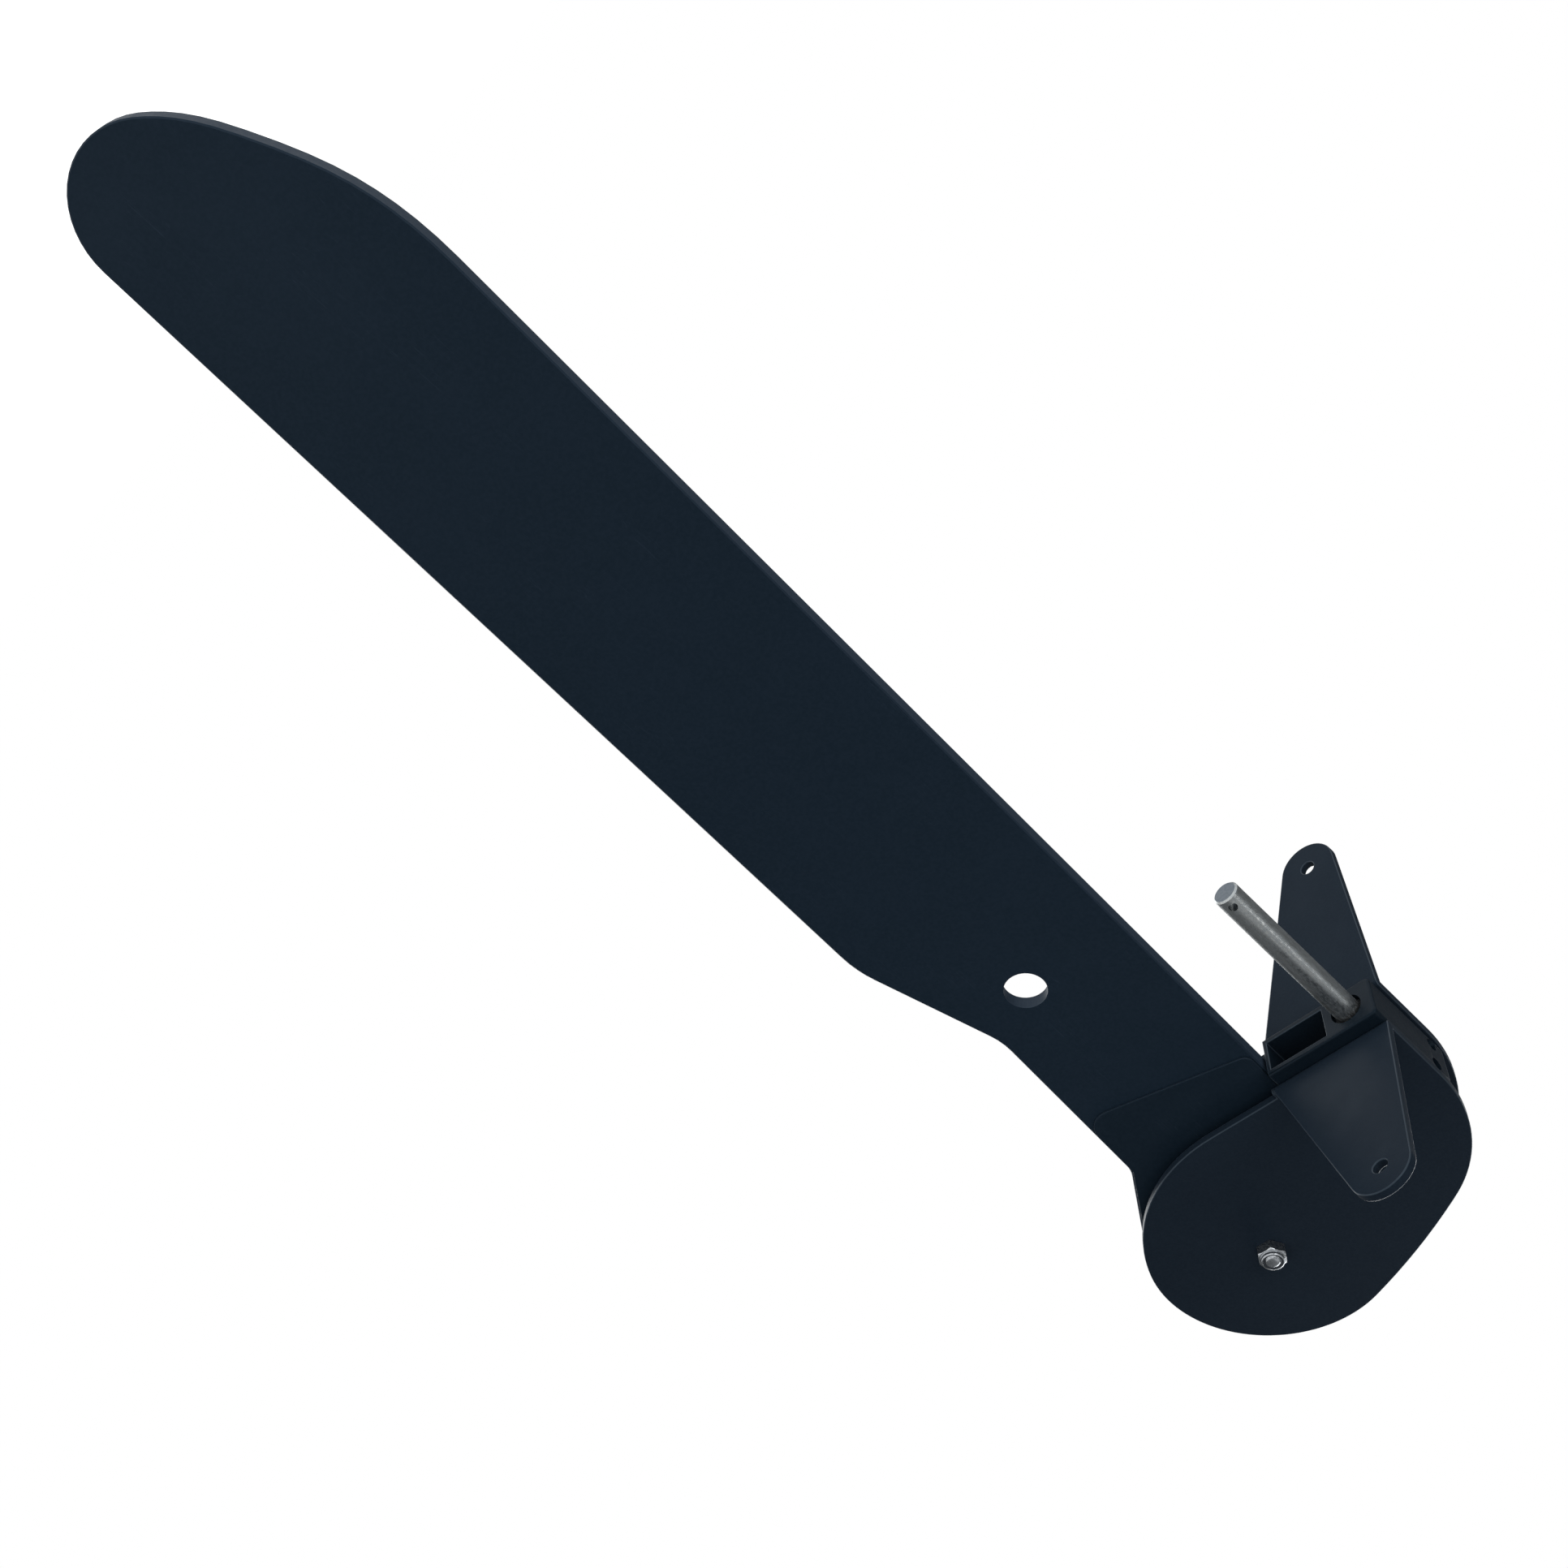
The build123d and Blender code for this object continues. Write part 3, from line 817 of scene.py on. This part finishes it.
@dataclass(frozen=True)
class Axle:
    """A straight axis along Y through a point, on which round pieces are built."""

    x: float
    z: float

    def point(self, y: float, radius: float, angle: float) -> Triple:
        """Find a point beside the axis.

        Args:
            y: Where it stands along the axis.
            radius: Its distance from the axis.
            angle: Its direction from +X towards +Z, in radians.

        Returns:
            The point.
        """
        return (self.x + radius * math.cos(angle), y, self.z + radius * math.sin(angle))

    def ring(self, bm: bmesh.types.BMesh, y: float, radius: float, count: int) -> Ring:
        """Add a ring of vertices.

        Args:
            bm: The mesh under construction.
            y: Where the ring stands along the axis.
            radius: The ring's radius.
            count: How many vertices it has.

        Returns:
            The ring's vertices.
        """
        turn = 2 * math.pi / count
        return [bm.verts.new(self.point(y, radius, i * turn)) for i in range(count)]

    def lathe(self, name: str, profile: list[tuple[float, float]], count: int = 64,
              closed: bool = False) -> bpy.types.Object:
        """Turn a profile round the axis.

        Args:
            name: The object's name.
            profile: Points (y, radius) in order; a radius of 0 is a pole.
            count: Vertices round each ring.
            closed: Whether the profile's last point joins its first, as on a washer.

        Returns:
            The new object.
        """
        bm = bmesh.new()
        rows = [self.ring(bm, y, radius, count if radius else 1) for y, radius in profile]
        pairs = list(zip(rows, rows[1:]))
        if closed:
            pairs.append((rows[-1], rows[0]))
        for low, high in pairs:
            bridge(bm, low, high)
        bmesh.ops.recalc_face_normals(bm, faces=bm.faces)
        return object_from(bm, name)


def socket_key(modifier: bpy.types.NodesModifier, name: str) -> str:
    """Find the identifier of a geometry tree's input.

    Args:
        modifier: The modifier that holds the tree.
        name: The input's name.

    Returns:
        The identifier that the modifier keeps the value under.
    """
    for item in modifier.node_group.interface.items_tree:
        if item.item_type == "SOCKET" and item.in_out == "INPUT" and item.name == name:
            return item.identifier
    raise KeyError(name)


class RivetRing:
    """A geometry tree that sets a turned rivet at each place of a circle round an axis along Y."""

    def __init__(self) -> None:
        """Build the tree."""
        self.tree, w, given, out = new_group(
            "rivet_ring",
            (("Rivet", "NodeSocketObject", None), ("Count", "NodeSocketInt", 3),
             ("Circle Radius", "NodeSocketFloat", 0.017),
             ("First Angle", "NodeSocketFloat", math.pi / 2),
             ("Centre", "NodeSocketVector", None), ("Finish", "NodeSocketMaterial", None)),
            (("Geometry", "NodeSocketGeometry"),),
            "GeometryNodeTree",
        )
        circle = w.add("GeometryNodeMeshCircle")
        minus = w.maths("SUBTRACT", 0.0, given.outputs["First Angle"])
        turn = w.add("ShaderNodeCombineXYZ")
        spin = w.add("GeometryNodeTransform")
        place = w.add("GeometryNodeTransform")
        rivet = w.add("GeometryNodeObjectInfo")
        stand = w.add("GeometryNodeInstanceOnPoints")
        realise = w.add("GeometryNodeRealizeInstances")
        coat = w.add("GeometryNodeSetMaterial")
        # the circle is turned in its own plane, then stood up on the axis along Y
        place.inputs["Rotation"].default_value = (-math.pi / 2, 0.0, 0.0)
        for source, target in (
            (given.outputs["Count"], circle.inputs["Vertices"]),
            (given.outputs["Circle Radius"], circle.inputs["Radius"]),
            (minus, turn.inputs["Z"]),
            (circle.outputs["Mesh"], spin.inputs["Geometry"]),
            (turn.outputs[0], spin.inputs["Rotation"]),
            (spin.outputs["Geometry"], place.inputs["Geometry"]),
            (given.outputs["Centre"], place.inputs["Translation"]),
            (place.outputs["Geometry"], stand.inputs["Points"]),
            (given.outputs["Rivet"], rivet.inputs["Object"]),
            (rivet.outputs["Geometry"], stand.inputs["Instance"]),
            (stand.outputs["Instances"], realise.inputs["Geometry"]),
            (realise.outputs["Geometry"], coat.inputs["Geometry"]),
            (given.outputs["Finish"], coat.inputs["Material"]),
            (coat.outputs["Geometry"], out.inputs["Geometry"]),
        ):
            w.join(source, target)

    def grow(self, name: str, rivet: bpy.types.Object, **values: object) -> bpy.types.Object:
        """Run the tree and keep its result as a plain mesh.

        Args:
            name: The new object's name.
            rivet: One rivet, centred on the origin along Y; it is removed at the end.
            **values: The tree's other inputs, with underscores for spaces.

        Returns:
            The new object.
        """
        host = bpy.data.objects.new(name + "_host", bpy.data.meshes.new(name + "_host"))
        bpy.context.scene.collection.objects.link(host)
        modifier = host.modifiers.new("rivets", "NODES")
        modifier.node_group = self.tree
        modifier[socket_key(modifier, "Rivet")] = rivet
        for key, value in values.items():
            modifier[socket_key(modifier, key.replace("_", " ").title())] = value
        bpy.context.view_layer.update()
        depsgraph = bpy.context.evaluated_depsgraph_get()
        mesh = bpy.data.meshes.new_from_object(host.evaluated_get(depsgraph))
        mesh.name = name
        obj = bpy.data.objects.new(name, mesh)
        bpy.context.scene.collection.objects.link(obj)
        host.modifiers.remove(modifier)
        for spare in (host, rivet):
            bpy.data.objects.remove(spare)
        shade(obj, SMOOTH_RIVETS)
        return obj


# ------------------------------------------------------------------ sub-assemblies
@dataclass
class SteeringHead:
    """The two bent side plates and the cast pin bracket between them."""

    nodes: dict[str, bpy.types.Object]
    finishes: Finishes
    plate_edge: float = 0.4 * MM
    casting_edge: float = 0.3 * MM
    hole_facet: float = 0.6 * MM

    def build(self) -> None:
        """Round the edges of the plates and the bracket, and dress the bearings."""
        paint = self.finishes
        for side in ("port", "starboard"):
            node = f"{side}_side_plate"
            plate = eased_copy(self.nodes[node], f"{side}_plate_coated", self.plate_edge)
            # the plates' rounded edges carry a painted highlight
            stand_in(dress(plate, paint.coat, paint.edge_highlight_coat), node, Body.HEAD)
            dress(self.nodes[f"{side}_thrust_washer"], paint.bearing)
        # the rims of the bracket's holes have short facets, which stay sharp
        bracket = eased_copy(self.nodes["pin_bracket"], "bracket_casting", self.casting_edge,
                             self.hole_facet)
        # the bracket's rounded edges carry a painted highlight
        dress(bracket, paint.cast_coat, paint.edge_highlight_coat)
        stand_in(bracket, "pin_bracket", Body.HEAD)
        dress(self.nodes["pin_bush"], paint.drum)
        LOG.info("pin_bush and both thrust washers dressed")


@dataclass
class PivotFastener:
    """The M6 bolt, its washer and the lock nut that hold the blade between the plates."""

    nodes: dict[str, bpy.types.Object]
    finishes: Finishes
    facets: int = 72
    shank: float = 3.0 * MM
    head_depth: float = 4.0 * MM
    dish_depth: float = 0.35 * MM
    dish_radius: float = 2.4 * MM
    lip_radius: float = 2.9 * MM
    chamfer_start: float = 0.97
    chamfer_slope: float = math.radians(60)
    chamfer_steps: tuple[float, ...] = (0.0, 0.15, 0.35, 0.6, 0.9)
    seat_chamfer: float = 0.1 * MM
    pitch: float = 1.0 * MM
    thread_depth: float = 0.61 * MM
    thread_length: float = 20.0 * MM
    crest: float = 1.15
    rows_per_turn: int = 8
    end_rows: tuple[float, ...] = (0.07, 0.03, 0.01)
    dome_height: float = 0.8 * MM
    dome_radius: float = 2.75 * MM
    washer_bore: float = 3.1 * MM
    washer_edge: float = 0.25 * MM
    nut_bore: float = 3.0 * MM
    nut_mouth: float = 0.35 * MM
    hexagon_depth: float = 4.4 * MM
    collar: float = 4.4 * MM
    collar_root: tuple[float, float] = (0.12 * MM, 0.15 * MM)
    collar_curl: tuple[tuple[float, float], ...] = (
        (0.55, 0.0), (0.22, 0.1), (0.05, 0.3), (0.0, 0.55))
    ring_bore: float = 3.8 * MM
    ring_lip: tuple[float, float] = (0.06 * MM, 0.3 * MM)
    ring_seat: float = 4.2 * MM

    def __post_init__(self) -> None:
        """Read the axis and the ends from the frame."""
        low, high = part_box("pivot_bolt")
        self.axle = Axle((low.x + high.x) / 2, (low.z + high.z) / 2)
        self.tip_y, self.head_y = low.y, high.y
        nut_low, nut_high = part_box("pivot_locknut")
        self.nut_face, self.nut_seat = nut_low.y, nut_high.y
        self.across_flats = nut_high.z - nut_low.z

    def build(self) -> None:
        """Make the bolt, the washer and the nut, and dress the nut's plastic ring."""
        for piece, node, slot in (
            (self._bolt(), "pivot_bolt", "fastener_steel"),
            (self._washer(), "pivot_washer", "fastener_steel"),
            (self._nut(), "pivot_locknut", "nut_steel"),
        ):
            shade(piece, SMOOTH_STEEL)
            stand_in(dress(piece, self.finishes.fastener), node, Body.HEAD)
        dress(self.nodes["locknut_insert"], self.finishes.insert)
        LOG.info("locknut_insert dressed")

    def _ring(self, bm: bmesh.types.BMesh, y: float, radius: float) -> Ring:
        """Add a ring of vertices round the bolt's axis."""
        return self.axle.ring(bm, y, radius, self.facets)

    def _wavy_ring(self, bm: bmesh.types.BMesh, y: float, radius: Callable[[int], float]) -> Ring:
        """Add a ring of vertices whose radius changes round the axis.

        Args:
            bm: The mesh under construction.
            y: Where the ring stands along the axis.
            radius: The radius at a vertex, by its number.

        Returns:
            The ring's vertices.
        """
        return [bm.verts.new(self.axle.point(y, radius(i), i * 2 * math.pi / self.facets))
                for i in range(self.facets)]

    def _hexagon_radius(self, i: int, height: float) -> float:
        """Radius of a hexagon whose corners are turned off at 30 degrees.

        Args:
            i: The vertex's number round the axis.
            height: Distance from the chamfered face.

        Returns:
            The radius at that place.
        """
        sector = math.pi / 3
        angle = i * 2 * math.pi / self.facets - math.pi / 2
        local = (angle + sector / 2) % sector - sector / 2
        flat = self.across_flats / 2 / math.cos(local)
        chamfer = self.across_flats / 2 * self.chamfer_start
        return min(flat, chamfer + height * math.tan(self.chamfer_slope))

    def _hexagon(self, bm: bmesh.types.BMesh, face_y: float, back_y: float, inner: Ring,
                 back: Ring) -> None:
        """Add a chamfered hexagon between two rings that are already there.

        Args:
            bm: The mesh under construction.
            face_y: Where the chamfered face stands.
            back_y: Where the seat face stands.
            inner: The ring that the chamfered face starts from.
            back: The ring that the seat face ends on.
        """
        depth = abs(back_y - face_y)
        direction = 1.0 if back_y > face_y else -1.0
        levels = [(step * MM, 0.0) for step in self.chamfer_steps]
        levels += [(depth - self.seat_chamfer, 0.0), (depth, self.seat_chamfer)]
        rows = [inner]
        for level, inwards in levels:
            rows.append(self._wavy_ring(
                bm, face_y + direction * level, lambda i: self._hexagon_radius(i, level) - inwards))
        rows.append(back)
        for low, high in zip(rows, rows[1:]):
            bridge(bm, low, high)

    def _thread_radius(self, i: int, y: float) -> float:
        """Radius of the thread, which grows out of the plain shank and ends in a rounded tip.

        Args:
            i: The vertex's number round the axis.
            y: The place along the axis.

        Returns:
            The radius at that place.
        """
        turns = (self.tip_y + self.thread_length - y) / self.pitch
        phase = (turns + i / self.facets) % 1.0
        ridge = 1.0 - abs(2.0 * phase - 1.0)
        depth = self.thread_depth * min(1.0, turns)
        radius = self.shank - depth * (1.0 - min(1.0, ridge * self.crest))
        left = y - self.tip_y
        if left >= self.dome_height:
            return radius
        share = 1.0 - min(1.0, left / self.dome_height)
        return min(radius, self.dome_radius * math.sqrt(max(0.0, 1.0 - share ** 3)))

    def _bolt(self) -> bpy.types.Object:
        """Make the hexagon head, the plain shank, and the rolled thread with its rounded end.

        Returns:
            The bolt.
        """
        seat = self.head_y - self.head_depth
        bottom = self.head_y - self.dish_depth
        bm = bmesh.new()
        # the top of the head has a shallow dish
        centre = [bm.verts.new((self.axle.x, bottom, self.axle.z))]
        dish = self._ring(bm, bottom, self.dish_radius)
        lip = self._ring(bm, self.head_y, self.lip_radius)
        bridge(bm, centre, dish)
        bridge(bm, dish, lip)
        neck = self._ring(bm, seat, self.shank)
        self._hexagon(bm, self.head_y, seat, lip, neck)
        # the thread is a sleeve whose radius follows the helix
        start = self.tip_y + self.thread_length
        previous = self._ring(bm, start, self.shank)
        bridge(bm, neck, previous)
        rows = int(self.thread_length / self.pitch * self.rows_per_turn)
        levels = [start - self.thread_length * row / rows for row in range(1, rows)]
        for y in (*levels, *(self.tip_y + left * MM for left in self.end_rows)):
            ring = self._wavy_ring(bm, y, lambda i: self._thread_radius(i, y))
            bridge(bm, previous, ring)
            previous = ring
        bridge(bm, previous, [bm.verts.new((self.axle.x, self.tip_y, self.axle.z))])
        bmesh.ops.recalc_face_normals(bm, faces=bm.faces)
        return object_from(bm, "pivot_bolt_turned")

    def _washer(self) -> bpy.types.Object:
        """Make the washer, rounded more on one side, as punching leaves it.

        Returns:
            The washer.
        """
        low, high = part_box("pivot_washer")
        outer, bore, roll = (high.x - low.x) / 2, self.washer_bore, self.washer_edge
        burr, shoulder = roll * 0.4, roll * 0.3
        profile = [(low.y, bore), (low.y, outer - burr), (low.y + burr, outer),
                   (high.y - roll, outer), (high.y - shoulder, outer - shoulder),
                   (high.y, outer - roll), (high.y, bore)]
        return self.axle.lathe("pivot_washer_punched", profile, closed=True)

    def _nut(self) -> bpy.types.Object:
        """Make the lock nut: a hexagon, and a collar that is curled in over the plastic ring.

        Returns:
            The nut.
        """
        top = self.nut_seat - self.hexagon_depth
        seat = self.nut_seat - self.ring_seat
        below, beside = self.collar_root
        bm = bmesh.new()
        root = self._ring(bm, top, self.collar + beside)
        back = self._ring(bm, self.nut_seat, self.nut_bore + self.nut_mouth)
        self._hexagon(bm, top, self.nut_seat, root, back)
        profile = [(top - below, self.collar)]
        profile += [(self.nut_face + along * MM, self.collar - inwards * MM)
                    for along, inwards in self.collar_curl]
        profile += [(self.nut_face + along, self.ring_bore) for along in self.ring_lip]
        profile += [(seat, self.ring_bore), (seat, self.nut_bore),
                    (self.nut_seat - self.nut_mouth, self.nut_bore)]
        rows = [root, *(self._ring(bm, y, radius) for y, radius in profile), back]
        for low, high in zip(rows, rows[1:]):
            bridge(bm, low, high)
        bmesh.ops.recalc_face_normals(bm, faces=bm.faces)
        return object_from(bm, "pivot_locknut_formed")


@dataclass
class PintlePin:
    """The hull pin with its washer and its retaining ring."""

    nodes: dict[str, bpy.types.Object]
    finishes: Finishes

    def build(self) -> None:
        """Dress the pin, the washer and the ring."""
        for node, finish in (
            ("pintle_pin", self.finishes.pin),
            ("pin_washer", self.finishes.fastener),
            ("pin_retaining_ring", self.finishes.spring),
        ):
            dress(self.nodes[node], finish)
            LOG.info("%s dressed", node)


@dataclass
class SwingingBlade:
    """The blade with its wear pads, line drums, rivets and bush."""

    nodes: dict[str, bpy.types.Object]
    finishes: Finishes
    pad_edge: float = 0.25 * MM
    rivets: int = 3
    rivet_circle: float = 17.0 * MM
    first_rivet: float = math.pi / 2
    rivet_radius: float = 2.0 * MM
    rivet_head: float = 3.5 * MM
    rivet_crown: float = 0.7 * MM
    crown_steps: tuple[float, ...] = (0, 18, 36, 54, 72)
    rivet_facets: int = 40

    def build(self) -> None:
        """Dress the plastic pieces and make the rivets."""
        dress(self.nodes["rudder_blade"], self.finishes.blade)
        for side in ("port", "starboard"):
            node = f"{side}_wear_pad"
            pad = eased_copy(self.nodes[node], f"{side}_pad_moulded", self.pad_edge)
            stand_in(dress(pad, self.finishes.pad), node, Body.BLADE)
            dress(self.nodes[f"{side}_line_drum"], self.finishes.drum)
        dress(self.nodes["blade_bush"], self.finishes.bearing)
        self._rivets()

    def _rivets(self) -> None:
        """Turn one rivet with two crowned heads, and set it at each hole of the drums."""
        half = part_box("drum_rivets")[1].y
        seat = half - self.rivet_crown
        crown = [(seat + self.rivet_crown * math.sin(step), self.rivet_head * math.cos(step))
                 for step in map(math.radians, self.crown_steps)]
        port_half = [(-half, 0.0), *((-y, radius) for y, radius in reversed(crown)),
                     (-seat, self.rivet_radius)]
        profile = [*port_half, (seat, self.rivet_radius), *crown, (half, 0.0)]
        rivet = Axle(0.0, 0.0).lathe("one_rivet", profile, self.rivet_facets)
        low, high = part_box("blade_bush")
        ring = RivetRing().grow(
            "drum_rivets_formed", rivet, count=self.rivets, circle_radius=self.rivet_circle,
            first_angle=self.first_rivet, centre=tuple((low + high) / 2),
            finish=self.finishes.fastener)
        stand_in(ring, "drum_rivets", Body.BLADE)


# ------------------------------------------------------------------------ studio
@dataclass(frozen=True)
class SoftBox:
    """A square area light that faces the object."""

    name: str
    offset: Triple
    size: float
    power: float


@dataclass
class Studio:
    """A pale floor, soft light and the camera."""

    low: Vector
    high: Vector
    floor_gap: float = 0.04
    floor_half: float = 30.0
    floor_grey: float = 0.3
    felt_colour: Colour = (0.93, 0.97, 1.0)
    felt_strength: float = 0.16
    boxes: tuple[SoftBox, ...] = (
        SoftBox("pin_box", (-0.74, -0.44, 0.55), 0.25, 0.5),
        SoftBox("tip_box", (-0.75, -0.5, -0.2), 0.45, 2.2),
        SoftBox("fill_box", (-0.3, -1.3, 1.0), 1.1, 2.0),
        SoftBox("top_box", (0.1, 0.3, 1.6), 1.4, 30.0),
        SoftBox("rear_box", (1.2, 0.9, 0.4), 1.0, 10.0),
    )
    camera_at: Triple = (-0.2018, -0.5433, -0.4139)
    forward: Triple = (0.442, 0.8395, 0.3162)
    upward: Triple = (-0.5642, 0.5342, -0.6296)
    lens: float = 44.72
    sensor: float = 36.0
    shift: tuple[float, float] = (0.0228, -0.0115)
    clip: tuple[float, float] = (0.01, 100.0)

    def build(self) -> None:
        """Make the floor, the lights, the surroundings and the camera."""
        self._floor()
        self._surroundings()
        self._lights()
        self._camera()
        bpy.context.scene.view_settings.view_transform = "Standard"
        bpy.context.scene.view_settings.look = "None"

    def _floor(self) -> None:
        """Lay a wide pale floor under the blade's tip."""
        bm = bmesh.new()
        half, height, grey = self.floor_half, self.low.z - self.floor_gap, self.floor_grey
        bm.faces.new([bm.verts.new((x * half, y * half, height))
                      for x, y in ((-1, -1), (1, -1), (1, 1), (-1, 1))])
        floor = object_from(bm, "pale_floor")
        s = Surface("pale_floor_paint")
        s.w.fill(s.shader, {"Base Color": (grey, grey, grey, 1.0), "Roughness": 0.85,
                            "Specular IOR Level": 0.1, "Emission Color": WHITE,
                            "Emission Strength": 1.0})
        dress(floor, s.material)
        floor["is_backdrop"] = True

    def _surroundings(self) -> None:
        """Surround the scene with white that lights the object only softly."""
        world = bpy.data.worlds.new("white_room")
        world.use_nodes = True
        w = Wiring(world.node_tree)
        world.node_tree.nodes.clear()
        path = w.add("ShaderNodeLightPath")
        seen, felt = w.add("ShaderNodeBackground"), w.add("ShaderNodeBackground")
        w.fill(seen, {"Color": WHITE, "Strength": 1.0})
        w.fill(felt, {"Color": (*self.felt_colour, 1.0), "Strength": self.felt_strength})
        mixed = w.add("ShaderNodeMixShader")
        out = w.add("ShaderNodeOutputWorld")
        w.fill(mixed, {0: path.outputs["Is Camera Ray"], 1: felt.outputs[0], 2: seen.outputs[0]})
        w.fill(out, {"Surface": mixed.outputs[0]})
        bpy.context.scene.world = world

    def _lights(self) -> None:
        """Hang soft boxes round the object."""
        centre = (self.low + self.high) / 2
        for box in self.boxes:
            offset = Vector(box.offset)
            data = bpy.data.lights.new(box.name, "AREA")
            data.shape = "SQUARE"
            data.size = box.size
            data.energy = box.power
            lamp = bpy.data.objects.new(box.name, data)
            lamp.location = centre + offset
            lamp.rotation_mode = "QUATERNION"
            lamp.rotation_quaternion = (-offset).to_track_quat("-Z", "Y")
            bpy.context.scene.collection.objects.link(lamp)

    def _camera(self) -> None:
        """Place the camera low on the port side, looking up and aft, and rolled."""
        back = -Vector(self.forward).normalized()
        up = Vector(self.upward)
        up = (up - up.dot(back) * back).normalized()
        right = up.cross(back)
        data = bpy.data.cameras.new("main_camera")
        data.lens = self.lens
        data.sensor_width = self.sensor
        data.shift_x, data.shift_y = self.shift
        data.clip_start, data.clip_end = self.clip
        camera = bpy.data.objects.new("main_camera", data)
        turn = Matrix((right, up, back)).transposed().to_4x4()
        camera.matrix_world = Matrix.Translation(Vector(self.camera_at)) @ turn
        bpy.context.scene.collection.objects.link(camera)
        bpy.context.scene.camera = camera


def main() -> None:
    """Load the frame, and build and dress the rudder."""
    logging.basicConfig(level=logging.INFO, format="%(message)s")
    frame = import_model()
    cad_low, cad_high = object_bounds()
    finishes = Finishes()
    nodes = frame["nodes"]
    for assembly in (
        PintlePin(nodes, finishes),
        SteeringHead(nodes, finishes),
        PivotFastener(nodes, finishes),
        SwingingBlade(nodes, finishes),
        Studio(cad_low, cad_high),
    ):
        assembly.build()
        LOG.info("%s built", type(assembly).__name__)


if __name__ == "__main__":
    main()
